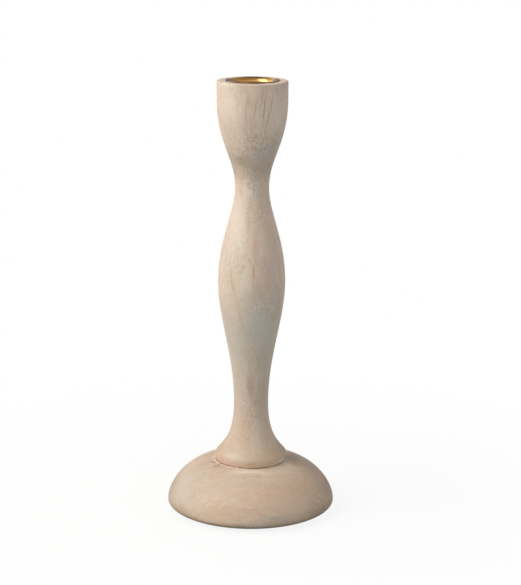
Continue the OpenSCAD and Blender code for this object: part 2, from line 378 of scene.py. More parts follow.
def turned(name, outline, finish, steps_round, sanding_depth=0.0, sanding_width=20.0, seed=0):
    curve = bpy.data.curves.new(name, "CURVE")
    curve.dimensions = "3D"
    spline = curve.splines.new("POLY")
    spline.points.add(len(outline) - 1)
    for point, (r, z) in zip(spline.points, outline):
        point.co = (r * MM, 0, z * MM, 1)
    return run_tree(
        name,
        bpy.data.objects.new(name, curve),
        lathe,
        steps_round=steps_round,
        sanding_depth=sanding_depth * MM,
        sanding_width=sanding_width * MM,
        seed=seed,
        finish=finish,
    )


# %% [markdown]
# ## Outlines
# A turner sets out a baluster by its waists and bellies: the slimmest and fullest diameters, and
# how long the curve stays slim or full on each side. A cubic curve does just that, with upright
# handles at every waist and belly. All outlines are in millimetres, as radius and height.

# %% Outline helpers
def curve_between(p, p_handle, q, q_handle, steps):
    p, q = Vector(p), Vector(q)
    a, b = p + Vector(p_handle), q + Vector(q_handle)
    made = []
    for i in range(1, steps + 1):
        t = i / steps
        u = 1 - t
        made.append(tuple(u ** 3 * p + 3 * u * u * t * a + 3 * u * t * t * b + t ** 3 * q))
    return made


def arc_about(centre, r, start, end, steps):
    angles = [math.radians(start + (end - start) * i / steps) for i in range(steps + 1)]
    return [(centre[0] + r * math.cos(a), centre[1] + r * math.sin(a)) for a in angles]


def surface_at(outline, z):
    # The outline's outer radius at a height, and how far it leans in there, in degrees
    found = (0, 0)
    for (r0, z0), (r1, z1) in zip(outline, outline[1:]):
        if z0 < z <= z1:
            r = r0 + (r1 - r0) * (z - z0) / (z1 - z0)
            found = max(found, (r, math.degrees(math.atan2(r0 - r1, z1 - z0))))
    return found


# %% [markdown]
# ## The outline of the base
# A dome turned from a plank: flat underneath, a small round at its widest, and a long curve up to
# the level seat of the stem. The mortise, the screw's way and its recess are part of the outline.

# %% Base outline
underside_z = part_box("base")[0].z / MM
seat_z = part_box("base")[1].z / MM
recess_top_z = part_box("stem_washer")[1].z / MM
base_r = 48.3
edge_h, edge_w = 3.5, 6.0
seat_r = 18.5
dome_side_pull, dome_top_pull = 8.2, 19.0
mortise_r, mortise_end_z = 8.1, 13.0
screw_hole_r = 2.6
recess_r = 7.5
# Handle length of a curve that draws a quarter of an ellipse, as a share of its half axis
QUARTER = 0.5523

widest = (base_r, underside_z + edge_h)
base_outline = [
    (screw_hole_r, recess_top_z),
    (recess_r, recess_top_z),
    (recess_r, underside_z),
    (base_r - edge_w, underside_z),
]
base_outline += curve_between(base_outline[-1], (QUARTER * edge_w, 0), widest, (0, -QUARTER * edge_h), 20)
base_outline += curve_between(widest, (0, dome_side_pull), (seat_r, seat_z), (dome_top_pull, 0), 90)
base_outline += [
    (mortise_r, seat_z),
    (mortise_r, mortise_end_z),
    (screw_hole_r, mortise_end_z),
    (screw_hole_r, recess_top_z),
]
print("base outline of", len(base_outline), "points, up to", round(seat_z, 1), "mm")

# %% [markdown]
# ## The outline of the stem
# One piece of wood from the tenon in the base to the rim round the brass cup. The flare of the foot
# runs into a soft bead, whose sole leaves a fine dark seam on the dome.

# %% Stem outline
stem_top_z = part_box("stem")[1].z / MM
tenon_end_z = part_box("stem")[0].z / MM
cup_floor_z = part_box("candle_cup")[0].z / MM
tenon_r, stem_screw_end_z = 8.0, 52.0
cup_seat_r, mouth_chamfer = 11.85, 2.2
cup_screw_r, cup_screw_end_z = 1.6, 212.0
sole, foot, ankle = (20.0, seat_z), (19.9, 34.3), (9.95, 64.0)
belly, neck, head = (19.2, 134.5), (9.65, 189.0), (20.05, 240.0)
flare_angle = math.radians(43.5)
flare_way = Vector((-math.sin(flare_angle), math.cos(flare_angle)))
rim_ease = 0.6

stem_outline = [
    (0, stem_screw_end_z),
    (screw_hole_r, stem_screw_end_z),
    (screw_hole_r, tenon_end_z),
    (tenon_r, tenon_end_z),
    (tenon_r, seat_z),
    sole,
]
stem_outline += curve_between(sole, (0.8, 0), foot, -2.0 * flare_way, 20)
stem_outline += curve_between(foot, 9.5 * flare_way, ankle, (0, -16), 44)
stem_outline += curve_between(ankle, (0, 27.5), belly, (0, -21), 70)
stem_outline += curve_between(belly, (0, 25.5), neck, (0, -14.5), 60)
stem_outline += curve_between(neck, (0, 18), head, (0, -26.5), 60)
stem_outline += arc_about((head[0] - rim_ease, stem_top_z - rim_ease), rim_ease, 0, 90, 8)
stem_outline += [
    (cup_seat_r + mouth_chamfer, stem_top_z),
    (cup_seat_r, stem_top_z - mouth_chamfer),
    (cup_seat_r, cup_floor_z),
    (cup_screw_r, cup_floor_z),
    (cup_screw_r, cup_screw_end_z),
    (0, cup_screw_end_z),
]
print("stem outline of", len(stem_outline), "points, up to", round(stem_top_z, 1), "mm")

# %% [markdown]
# ## Patterns for materials
# Most of what shows on a natural surface is one of two things: blotches that go on everywhere, or
# one mark at one place. Blotches are noise, stretched to a size in millimetres and cut between two
# levels. A mark is a soft ellipse on the surface, placed by its turn round the axis, its height and
# its lean. A mark as wide as ALL_ROUND is a zone at one height. Nothing on wood is quite straight,
# so a third function lets the coordinates themselves wander by a few millimetres.

# %% Blotches and marks
ALL_ROUND = 500


def blotches(tree, place, size, low, high, most=1.0, seed=0.0, detail=3.0, roughness=0.55):
    spread = add(
        tree, "ShaderNodeVectorMath", {0: place, 1: [1 / s for s in size]}, operation="MULTIPLY"
    )[0]
    cloud = add(
        tree,
        "ShaderNodeTexNoise",
        {"Vector": spread, "W": seed, "Scale": 1.0, "Detail": detail, "Roughness": roughness},
        noise_dimensions="4D",
    )[0]
    cut = add(
        tree, "ShaderNodeMapRange", {"Value": cloud, "From Min": low, "From Max": high, "To Max": most}
    )
    return cut["Result"]


def mark(tree, place, outline, turn, z, lean, half_w, half_h, most):
    r, tilt = surface_at(outline, z) if half_w < ALL_ROUND else (0, 0)
    spin = Matrix.Rotation(math.radians(turn), 3, "Z")
    laid_back = Matrix.Rotation(-math.radians(tilt), 3, "X")
    leaning = Matrix.Rotation(math.radians(lean), 3, "Y")
    # Even a fine line reaches 4 mm into the wood, so that it stays on a curved surface
    depth = max(4, half_w)
    local = add(
        tree,
        "ShaderNodeMapping",
        {
            "Vector": place,
            "Location": spin @ Vector((0, -r, z)),
            "Rotation": (spin @ laid_back @ leaning).to_euler(),
            "Scale": (half_w, depth, half_h),
        },
        vector_type="TEXTURE",
    )[0]
    away = add(tree, "ShaderNodeVectorMath", {0: local}, operation="LENGTH")["Value"]
    soft = add(
        tree,
        "ShaderNodeMapRange",
        {"Value": away, "From Min": 0.1, "From Max": 1.0, "To Min": most, "To Max": 0.0},
        interpolation_type="SMOOTHSTEP",
    )
    return soft["Result"]


def wandered(tree, place, size, reach, detail):
    noise = add(tree, "ShaderNodeTexNoise", {"Vector": place, "Scale": 1 / size, "Detail": detail})
    way = noise["Color"]
    way = add(tree, "ShaderNodeVectorMath", {0: way, 1: (0.5, 0.5, 0.5)}, operation="SUBTRACT")[0]
    way = add(tree, "ShaderNodeVectorMath", {0: way, "Scale": reach}, operation="SCALE")[0]
    return add(tree, "ShaderNodeVectorMath", {0: place, 1: way}, operation="ADD")[0]


# %% [markdown]
# ## The grain
# Wood is a bundle of fibres, laid down in yearly rings. Where the turning cuts the rings they show
# as soft bands, and the fibres as fine brown streaks, with tan, pinkish and grey patches drawn out
# along them. All of it is one solid pattern in millimetres with the grain along Z, so it runs
# through the wood as real grain does, and the end grain at the top comes out right by itself.

# %% Rings and fibres
def grain_masks(tree, wavy, pith):
    # Growth rings lie round a pith that was far outside this piece, and lean a little with the trunk
    ring_w, trunk_lean = 3.5, 0.06
    out = add(tree, "ShaderNodeVectorMath", {0: wavy, 1: pith}, operation="SUBTRACT")[0]
    out = add(tree, "ShaderNodeVectorMath", {0: out, 1: (1, 1, trunk_lean)}, operation="MULTIPLY")[0]
    ring_r = add(tree, "ShaderNodeVectorMath", {0: out}, operation="LENGTH")["Value"]
    ring = add(
        tree, "ShaderNodeTexNoise", {"W": ring_r, "Scale": 1 / ring_w, "Detail": 2.0}, noise_dimensions="1D"
    )[0]
    band = add(
        tree, "ShaderNodeMapRange", {"Value": ring, "From Min": 0.38, "From Max": 0.68, "To Max": 0.4}
    )["Result"]

    # Fibres are under half a millimetre wide; they are drawn a little wider so that they show
    fibre = blotches(tree, wavy, (0.55, 0.55, 14), 0.46, 0.72, seed=1)
    clump = blotches(tree, wavy, (9, 9, 32), 0.4, 0.68, 0.55, seed=2)
    streak = add(tree, "ShaderNodeMath", {0: fibre, 1: clump}, operation="MULTIPLY")[0]
    return {
        "band": band,
        "fibre": streak,
        "tan": blotches(tree, wavy, (7, 7, 46), 0.45, 0.7, 0.6, seed=3),
        "pink": blotches(tree, wavy, (8, 8, 34), 0.5, 0.74, 0.6, seed=4),
        "grey": blotches(tree, wavy, (13, 13, 30), 0.5, 0.74, 0.45, seed=5),
        "wiped": blotches(tree, wavy, (1.3, 1.3, 16), 0.5, 0.78, 0.35, seed=7),
    }


# %% Pores
def pore_mask(tree, wavy):
    # Pores are short dark dashes along the grain, drawn about 1 mm wide so that they show. A cell of
    # noise has room for one, and a quarter of the cells have it
    dash_w, dash_l, kept_share = 2.6, 8, 0.25
    dash = add(
        tree,
        "ShaderNodeVectorMath",
        {0: wavy, 1: (1 / dash_w, 1 / dash_w, 1 / dash_l)},
        operation="MULTIPLY",
    )[0]
    cell = add(tree, "ShaderNodeTexVoronoi", {"Vector": dash, "Scale": 1.0})
    hole = add(
        tree,
        "ShaderNodeMapRange",
        {"Value": cell["Distance"], "From Min": 0.08, "From Max": 0.2, "To Min": 1, "To Max": 0},
    )["Result"]
    pick = add(tree, "ShaderNodeSeparateColor", {0: cell["Color"]})[0]
    pick = add(tree, "ShaderNodeMath", {0: pick, 1: 1 - kept_share}, operation="GREATER_THAN")[0]
    return add(tree, "ShaderNodeMath", {0: hole, 1: pick}, operation="MULTIPLY")[0]


# %% [markdown]
# ## The film on bleached wood
# Bleaching and sanding leave a thin chalky film, cloudy all over. Where it was rubbed off and put on
# again it is crackled brown and flecked with white. Those rubbed zones are placed like marks. The
# flecks lie only inside them, and a fainter crackle lies in patches elsewhere too.

# %% Chalk, crackle and flecks
def film_masks(tree, place, outline, rubbed):
    zones = 0.0
    for turn, z, half_w, half_h, most in rubbed:
        zone = mark(tree, place, outline, turn, z, 0, half_w, half_h, most)
        zones = add(tree, "ShaderNodeMath", {0: zones, 1: zone}, operation="MAXIMUM")[0]
    worn = blotches(tree, place, (11, 11, 11), 0.42, 0.64, 0.38, seed=9)
    worn = add(tree, "ShaderNodeMath", {0: worn, 1: zones}, operation="MAXIMUM")[0]
    crackle = blotches(tree, place, (1.3, 1.3, 1.6), 0.46, 0.74, 0.75, seed=8, detail=4.0, roughness=0.6)
    flecks = blotches(tree, place, (1.2, 1.2, 1.8), 0.48, 0.74, seed=10, detail=4.0, roughness=0.6)
    chalk = blotches(tree, place, (2.6, 2.6, 2.6), 0.48, 0.76, 0.45, seed=6, detail=5.0, roughness=0.68)
    return {
        "chalk": chalk,
        "crackle": add(tree, "ShaderNodeMath", {0: crackle, 1: worn}, operation="MULTIPLY")[0],
        "flecks": add(tree, "ShaderNodeMath", {0: flecks, 1: zones}, operation="MULTIPLY")[0],
    }


# %% [markdown]
# ## Bleached wood
# The wood is a pale hardwood, turned, sanded and bleached. What the eye gets is the soft grain under
# the film, the stains and streaks of this one stick, and a dull surface. An image of wood could be
# wrapped round it, but it would stretch on the dome and show a seam, so all of it is made of the
# patterns above. The base is cut from a plank, so its grain is turned level. Stains, and some painted
# light and shade, lie on the colours of the grain, and fibres, pores and flecks still show through them.

# %% Bleached wood
def bleached_wood(name, outline, grain_turn, pith, tones, marks, rubbed):
    material, tree = blank_material(name)
    place = in_millimetres(tree)
    along_grain = add(tree, "ShaderNodeMapping", {"Vector": place, "Rotation": grain_turn})[0]
    # The fibres wander a few millimetres from straight, and the marks have ragged edges
    wavy = wandered(tree, along_grain, size=28, reach=13.0, detail=2.0)
    ragged = wandered(tree, place, size=5, reach=3.0, detail=4.0)
    grain = grain_masks(tree, wavy, pith)
    hole = pore_mask(tree, wavy)
    film = film_masks(tree, place, outline, rubbed)
    # Sanding dust fills most of a pore, so little of its colour is left
    pore = add(tree, "ShaderNodeMath", {0: hole, 1: 0.15}, operation="MULTIPLY")[0]

    layers = [(tones[what], grain[what]) for what in ("band", "tan", "pink", "grey")]
    layers += [(tones["chalk"], film["chalk"]), (tones["chalk"], grain["wiped"])]
    for _, turn, z, lean, half_w, half_h, colour, most in marks:
        layers.append((colour, mark(tree, ragged, outline, turn, z, lean, half_w, half_h, most)))
    layers += [
        (tones["chalk"], film["flecks"]),
        (tones["fibre"], grain["fibre"]),
        (tones["fibre"], film["crackle"]),
        (tones["pore"], pore),
    ]
    tone = layered(tree, linear(tones["pale"]), layers)

    # Chalk stands proud, and fibres and pores lie lower, by hundredths of a millimetre
    height = add(tree, "ShaderNodeMath", {0: film["chalk"], 1: grain["fibre"]}, operation="SUBTRACT")
    height = add(tree, "ShaderNodeMath", {0: height[0], 1: hole}, operation="SUBTRACT")[0]
    bump = add(tree, "ShaderNodeBump", {"Height": height, "Strength": 0.5, "Distance": 0.06 * MM})
    dull = add(
        tree,
        "ShaderNodeMapRange",
        {"Value": film["chalk"], "From Max": 0.5, "To Min": 0.55, "To Max": 0.75},
    )["Result"]
    # Dry, bleached fibres scatter light rather than mirror it, so the shine is kept low
    wood = add(
        tree,
        "ShaderNodeBsdfPrincipled",
        {"Base Color": tone, "Roughness": dull, "Normal": bump[0], "IOR": 1.5, "Specular IOR Level": 0.25},
    )
    add(tree, "ShaderNodeOutputMaterial", {"Surface": wood[0]})
    print(name, "has", len(tree.nodes), "nodes")
    return material


# %% [markdown]
# ## What marks this one stick
# The patterns alone would give any bleached stick. This one is known by its pale head with brown
# lines, a grey tone round the belly, a tan foot, and stains and scratches on the dome. Some rows are
# painted light and shade instead: painted light on the right of the head, painted shade under the
# head, round the lower belly, on the right of the rim and of the bead and round the edges of the
# dome, the stem's painted shadow beside its foot, and painted highlights on the rim and the bead.
# Each is one row here: a soft mark with a real size in millimetres, placed one by one. A texture
# painter could brush them on, but rows in a list are easy to move and to read.

# %% Wood of the stem
STEM_MARKS = (
    # what it is, turn, height, lean, half width, half height, colour, strength
    ("pinker head", 0, 236, 0, ALL_ROUND, 26, "#DEC5B6", 0.4),
    # Painted light: a paler patch that lifts the shaded right side of the head
    ("painted light on the right of the head", 38, 232, 0, 16, 22, "#EDDFD1", 0.85),
    # Painted shade on the shaded right of the rim, and a painted highlight on its lit left
    ("painted shade on the right of the rim", 75, 249.3, 0, 12, 3, "#B5A28E", 0.4),
    ("painted highlight on the left of the rim", -48, 249.3, 0, 13, 2.4, "#EADFCE", 0.7),
    ("long brown head line", 20, 236, 7, 0.7, 13, "#AF8B73", 0.6),
    ("second head line", 26, 231, 9, 0.7, 10, "#B3907A", 0.55),
    ("third head line", 5, 236, 8, 0.8, 11, "#B7947F", 0.5),
    ("fourth head line", -9, 238, 6, 0.8, 9, "#BE9F8A", 0.45),
    ("fifth head line", 14, 241, 6, 0.6, 8, "#B7947F", 0.45),
    ("sixth head line", 33, 239, 7, 0.6, 9, "#B3907A", 0.45),
    ("dark smudge under the head", -30, 206, 0, 7, 5, "#9C8C76", 0.55),
    ("chalky side of the head", -42, 236, 0, 13, 15, "#EBDCCF", 0.7),
    # Painted shade under the overhang of the head, greyer on its shaded side
    ("painted shade under the head", 0, 203, 0, ALL_ROUND, 13, "#B4A797", 0.5),
    ("painted grey shade under the head", 30, 211, 0, 11, 10, "#CAC9CA", 0.6),
    ("pale neck", -18, 187, 0, 5, 9, "#EADFD2", 0.5),
    ("chalky side over the belly", -34, 165, 0, 9, 26, "#E8DCCF", 0.65),
    ("tan stripe over the belly", -8, 173, -2, 2.6, 20, "#C9AB8A", 0.45),
    ("tan shoulder", 36, 170, 0, 11, 22, "#D6BCA4", 0.4),
    ("pink streak over the belly", 8, 160, 2, 3.4, 13, "#CDA591", 0.5),
    ("pink side of the belly", 34, 146, 0, 12, 22, "#D2BBAE", 0.4),
    ("dull front of the belly", -2, 128, 0, 10, 16, "#CBC0B3", 0.4),
    ("pale front of the belly", -18, 141, 0, 8, 17, "#E8DDCF", 0.5),
    ("cream left of the belly", -50, 146, 0, 10, 18, "#DDD2C5", 0.5),
    ("grey right of the belly", 46, 127, 0, 10, 13, "#CEC7C1", 0.4),
    ("rust-coloured fleck", 4, 144, -2, 1.2, 7.0, "#C48A64", 0.55),
    ("thin tail under the fleck", 4, 132, 0, 0.7, 9, "#AF957E", 0.35),
    ("tan line down the belly", -33, 136, -14, 1.2, 15, "#C9AD88", 0.55),
    ("tan line, lower half", -20, 117, -6, 1.2, 13, "#BFAA8C", 0.5),
    # A grey tone round the lower belly, partly painted shade on its downward-facing faces
    ("grey tone and painted shade under the belly", 0, 99, 0, ALL_ROUND, 36, "#C6C2B7", 0.6),
    ("grey tone and painted shade on its front", 22, 113, 0, 16, 22, "#D0CEC7", 0.75),
    ("tan foot", 0, 26, 0, ALL_ROUND, 68, "#C7B29C", 0.62),
    ("dull ankle", 0, 66, 0, ALL_ROUND, 24, "#BBB3A9", 0.3),
    ("brown streak on the ankle", -3, 76, 0, 3.0, 11, "#B4967A", 0.45),
    ("white speck on the ankle", -27, 65, 0, 0.7, 1.1, "#F3ECE2", 0.9),
    ("peach streak on the flare", -14, 50, 2, 6.5, 15, "#D0AA8E", 0.5),
    ("pale patch beside it", 14, 49, 0, 5.5, 10, "#D3CAC0", 0.5),
    ("dark dot on the neck", -60, 198, 0, 0.8, 1.0, "#78644F", 0.8),
    ("brown edge of the bead", 0, 29.3, 0, ALL_ROUND, 1.0, "#9C7049", 0.6),
    ("glue smear on the bead", 64, 30.6, 0, 7, 1.4, "#DBD6CC", 0.75),
    ("reddish blotch on the bead", 0, 32, 0, 3.4, 1.8, "#B2836A", 0.6),
    ("peach blotch on the bead", -62, 33, 0, 7, 4.0, "#DDAF93", 0.5),
    # Painted shade on the shaded right of the flare and the bead
    ("painted shade right of the bead", 92, 36, 0, 20, 11, "#96846E", 0.45),
    ("yellow right of the bead", 42, 36, 0, 15, 7, "#C4A67E", 0.45),
    ("tan left of the bead", -86, 36, 0, 9, 9, "#C2A083", 0.55),
    ("pink lower edge of the bead", -14, 31, 0, 24, 2.4, "#D2A78F", 0.45),
    # Painted highlight: a pale band where the flare above the bead faces the window
    ("painted highlight over the bead", -34, 35.5, 0, 11, 2.6, "#E9D9C4", 0.4),
)
STEM_RUBBED = (
    # turn, height, half width, half height, strength
    (16, 216, 24, 18, 1.0),
    (12, 195, 16, 14, 0.7),
    (16, 176, 13, 13, 0.65),
    (22, 123, 16, 9, 0.8),
    (8, 62, 12, 22, 0.6),
    (14, 45, 16, 14, 0.5),
)
stem_wood = bleached_wood(
    "bleached mango wood, turned, grain upright",
    stem_outline,
    (0, math.radians(5), 0),
    (70, 40, 0),
    {
        "pale": "#E2D0C0", "band": "#D8C3B0", "tan": "#D8BFA6", "pink": "#D6B6A3", "grey": "#C3BBAF",
        "fibre": "#A2846B", "chalk": "#EDE3D9", "pore": "#826A55",
    },
    STEM_MARKS,
    STEM_RUBBED,
)

# %% Wood of the base
BASE_MARKS = (
    # what it is, turn, height, lean, half width, half height, colour, strength
    ("chalky left side", -62, 16, 0, 30, 16, "#C9BFB3", 0.7),
    ("yellow lower front", -22, 11, 0, 20, 8, "#C9B190", 0.5),
    ("peach front", 14, 20, 0, 24, 10, "#DDB89F", 0.5),
    ("grey lower front", 20, 7.5, 0, 17, 4.5, "#B3A49A", 0.6),
    # Partly a warmer tone, partly painted shade on the dome's shaded right
    ("warm tone and painted shade on the right side", 62, 18, 0, 36, 20, "#CDA586", 0.4),
    ("dull upper left", -70, 25, 0, 24, 10, "#C8BDAF", 0.6),
    # Painted shadow: the stem's shadow on the dome to the right of the foot, in two rows
    ("painted shadow of the stem", 94, 26.4, 0, 26, 14, "#7B6B5D", 0.4),
    ("painted shadow beside the foot", 92, 28.4, 0, 18, 6, "#6A6057", 0.4),
    ("pale front by the seam", -2, 28.6, 0, 18, 5, "#F0E2D2", 0.75),
    ("glue smear on the left", -88, 28.8, 0, 7, 2.4, "#DAD8D0", 0.8),
    # Painted shade low on the shaded right, near the floor
    ("painted shade low on the right", 58, 6, 0, 26, 6, "#77665A", 0.45),
    # Painted shade along the left and right edges of the dome
    ("painted shade on the left edge", -92, 13, 0, 18, 18, "#B3A698", 0.5),
    ("painted brown shade at the left edge", -107, 9, 0, 42, 20, "#A0856A", 0.55),
    ("painted shade on the right edge", 105, 10, 0, 50, 26, "#7B6D61", 0.6),
    ("brown lower left", -56, 5.5, 0, 22, 6, "#A08468", 0.4),
    # Painted shade round the lower edge, near the floor
    ("painted shade along the lower edge", 0, 1.5, 0, ALL_ROUND, 5.5, "#6F6257", 0.75),
    ("scratch", -43, 16, 42, 0.7, 5, "#E6D8C5", 0.42),
    ("scratch", -37, 18, 40, 0.6, 4, "#E6D8C5", 0.4),
    ("scratch", -32, 14, 42, 0.7, 4, "#E6D8C5", 0.4),
    ("scratch", -27, 18, 44, 0.6, 5, "#E6D8C5", 0.35),
    ("scratch", -20, 15, 44, 0.7, 4, "#E6D8C5", 0.35),
    ("scratch", -13, 17, 46, 0.6, 5, "#E6D8C5", 0.35),
    ("curved scratch", 10, 8.5, 84, 0.5, 6, "#D8CCC2", 0.6),
    ("curved scratch", 15, 9.8, 76, 0.5, 5, "#D8CCC2", 0.5),
    ("rust-coloured fleck", -6, 26.9, 0, 0.9, 0.8, "#B9804F", 0.7),
    ("glue-stained speck", -87, 28.75, 0, 2.6, 1.5, "#B98A5E", 0.55),
    ("second stained speck", -71, 28.7, 20, 1.6, 2.8, "#AE7442", 0.8),
    ("third stained speck", -55, 28.5, 30, 1.3, 3.0, "#B5814F", 0.8),
)
BASE_RUBBED = (
    # turn, height, half width, half height, strength
    (60, 14, 26, 14, 0.65),
    (4, 7, 34, 5, 0.75),
)
base_wood = bleached_wood(
    "bleached mango wood, turned, grain level",
    base_outline,
    (0, math.radians(90), 0),
    (60, 30, 0),
    {
        "pale": "#D5C1AD", "band": "#CEB59F", "tan": "#CEB096", "pink": "#C9A48F", "grey": "#BBAFA0",
        "fibre": "#B09078", "chalk": "#E4D8CB", "pore": "#93775F",
    },
    BASE_MARKS,
    BASE_RUBBED,
)

# %% [markdown]
# ## Turning the wood
# Both wooden pieces come off the same lathe tree. Sanding by hand leaves them a few hundredths of a
# millimetre out of round.

# %% Base and stem
base = turned("turned_base", base_outline, base_wood, 192, sanding_depth=0.06, sanding_width=14, seed=3)
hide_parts("base")
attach(base, "root")

stem = turned("turned_stem", stem_outline, stem_wood, 176, sanding_depth=0.04, sanding_width=18, seed=7)
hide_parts("stem")
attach(stem, "root")

# %% [markdown]
# ## Brass and zinc plate
# Metals have almost no colour of their own beyond what they mirror, so one function makes them all:
# a metal tone, clouded where it was handled, and rougher in the clouds. Brass mirrors blue poorly,
# which is why it looks gold, and each bounce inside the cup makes the gold deeper.

# %% Metals
def metal(name, colour, cloud_colour, roughness, tarnish_and_reflections=(), outline=()):
    material, tree = blank_material(name)
    place = in_millimetres(tree)
    cloud = blotches(tree, place, (4, 4, 4), 0.4, 0.75, 0.5, seed=1, detail=4.0)
    tone = layered(tree, linear(colour), [(cloud_colour, cloud)])
    dull = add(
        tree, "ShaderNodeMapRange", {"Value": cloud, "To Min": roughness, "To Max": roughness + 0.15}
    )["Result"]
    bare = 1.0
    for _, turn, z, half_w, half_h, spot_colour, most in tarnish_and_reflections:
        # Each spot is dull and no longer a metal, the painted dark reflections on the flange too
        spot = mark(tree, place, outline, turn, z, 0, half_w, half_h, most)
        tone = layered(tree, tone, [(spot_colour, spot)])
        dull = add(tree, "ShaderNodeMix", {0: spot, 2: dull, 3: 0.5}, data_type="FLOAT")[0]
        bare = add(tree, "ShaderNodeMix", {0: spot, 2: bare, 3: 0.0}, data_type="FLOAT")[0]
    shader = add(
        tree, "ShaderNodeBsdfPrincipled", {"Base Color": tone, "Metallic": bare, "Roughness": dull}
    )
    add(tree, "ShaderNodeOutputMaterial", {"Surface": shader[0]})
    print(name, "has", len(tree.nodes), "nodes")
    return material


# %% [markdown]
# ## The brass cup
# Sheet brass drawn into a cup, with its mouth bent out to a flange that lies on the wood. The sheet
# is turned from its section, inside and outside. The round of the bend catches the window. The rim
# of the flange carries dull, dark spots that are painted dark reflections, slate on the left and
# brown round the rest of it, and inside the brass is dull, with a dark throat just under the bend.

# %% Candle cup
cup_r, sheet, bend_r, corner_r, flange_r = 11.25, 0.5, 2.2, 2.0, 15.2
lip_r = bend_r + sheet
cup_top_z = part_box("candle_cup")[1].z / MM
inside_floor_z = cup_floor_z + sheet
corner = (cup_r - corner_r, inside_floor_z + corner_r)
lip = (cup_r + lip_r, cup_top_z - lip_r)
cup_outline = [(cup_screw_r, cup_floor_z)]
cup_outline += arc_about(corner, corner_r + sheet, -90, 0, 10)
cup_outline += arc_about(lip, bend_r, 180, 90, 12)
cup_outline += arc_about((flange_r - sheet / 2, cup_top_z - sheet / 2), sheet / 2, -90, 90, 10)
cup_outline += arc_about(lip, lip_r, 90, 180, 24)
cup_outline += arc_about(corner, corner_r, 0, -90, 12)
cup_outline += [(cup_screw_r, inside_floor_z), (cup_screw_r, cup_floor_z)]

TARNISH_AND_REFLECTIONS = (
    # what it is, turn, height, half width, half height, colour, strength
    ("dull inside", 0, cup_top_z - 20, ALL_ROUND, 15, "#8A6536", 0.7),
    ("dark throat", 0, cup_top_z - 3.4, ALL_ROUND, 1.6, "#4A2E14", 0.75),
    # The dull, dark spots on the rim of the flange below are painted dark reflections
    ("brown front", 10, cup_top_z, 11, 2, "#1E0F05", 1.0),
    ("painted dark reflection, front left", -32, cup_top_z, 8, 2, "#33200F", 0.95),
    ("painted dark reflection, front right", 52, cup_top_z, 9, 2, "#5E3A1A", 0.85),
    ("painted dark reflection, far edge", 178, cup_top_z, 18, 1.4, "#1E0F03", 1.0),
    ("brown right", 88, cup_top_z, 11, 2.5, "#2E2018", 0.95),
    ("painted slate reflection, left", -82, cup_top_z, 16, 8, "#27303B", 1.0),
)
# The spots and painted dark reflections are placed on a cylinder as wide as the flange
rim = [(flange_r, 0), (flange_r, 2 * cup_top_z)]
cup_brass = metal("brass sheet, drawn and polished", "#F2C07A", "#C98B45", 0.2, TARNISH_AND_REFLECTIONS, rim)
cup = turned("drawn_cup", cup_outline, cup_brass, 160)
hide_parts("candle_cup")
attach(cup, "root")

# %% [markdown]
# ## Glue in the seam
# When the stem is pressed into the base, glue squeezes out round its sole. It was wiped off, but a
# thin cream line stayed in the seam, with a thicker drop in some places. It is a tube along the seam
# curve, so the tree takes that curve with a thickness at each point, makes it uneven and flattens it.

# %% Glue tree
def glue_tree():
    inputs = {
        "Seam": "Geometry",
        "Steps": "Int",
        "Blob size": "Float",
        "Height": "Float",
        "Flatness": "Float",
        "Seed": "Int",
        "Finish": "Material",
    }
    tree, given = blank_shape_tree("glue squeezed from a seam", inputs, "Glue")

    # Thickness at each point, times a noise that lets the line come and go
    seam = add(tree, "GeometryNodeResampleCurve", {"Curve": given["Seam"], "Count": given["Steps"]})[0]
    position = add(tree, "GeometryNodeInputPosition")[0]
    spot = add(tree, "ShaderNodeVectorMath", {0: position, 1: given["Blob size"]}, operation="DIVIDE")[0]
    uneven = add(
        tree,
        "ShaderNodeTexNoise",
        {"Vector": spot, "W": given["Seed"], "Scale": 1.0, "Detail": 3.0},
        noise_dimensions="4D",
    )[0]
    uneven = add(
        tree,
        "ShaderNodeMapRange",
        {"Value": uneven, "From Min": 0.35, "From Max": 0.7, "To Min": 0.5, "To Max": 1.2},
    )["Result"]
    thick = add(tree, "GeometryNodeInputRadius")[0]
    thick = add(tree, "ShaderNodeMath", {0: thick, 1: uneven}, operation="MULTIPLY")[0]
    section = add(tree, "GeometryNodeCurvePrimitiveCircle", {"Resolution": 8, "Radius": 1.0})[0]
    glue = add(
        tree, "GeometryNodeCurveToMesh", {"Curve": seam, "Profile Curve": section, "Scale": thick}
    )[0]

    # Press it flat about the height of the seam
    parts = add(tree, "ShaderNodeSeparateXYZ", {0: position})
    rise = add(tree, "ShaderNodeMath", {0: parts["Z"], 1: given["Height"]}, operation="SUBTRACT")[0]
    rise = add(tree, "ShaderNodeMath", {0: rise, 1: given["Flatness"]}, operation="MULTIPLY")[0]
    rise = add(tree, "ShaderNodeMath", {0: rise, 1: given["Height"]}, operation="ADD")[0]
    pressed = add(tree, "ShaderNodeCombineXYZ", {"X": parts["X"], "Y": parts["Y"], "Z": rise})[0]
    glue = add(tree, "GeometryNodeSetPosition", {"Geometry": glue, "Position": pressed})[0]
    glue = add(tree, "GeometryNodeSetShadeSmooth", {"Geometry": glue, "Shade Smooth": True})[0]
    finish_shape(tree, glue, given, "Glue")
    return tree


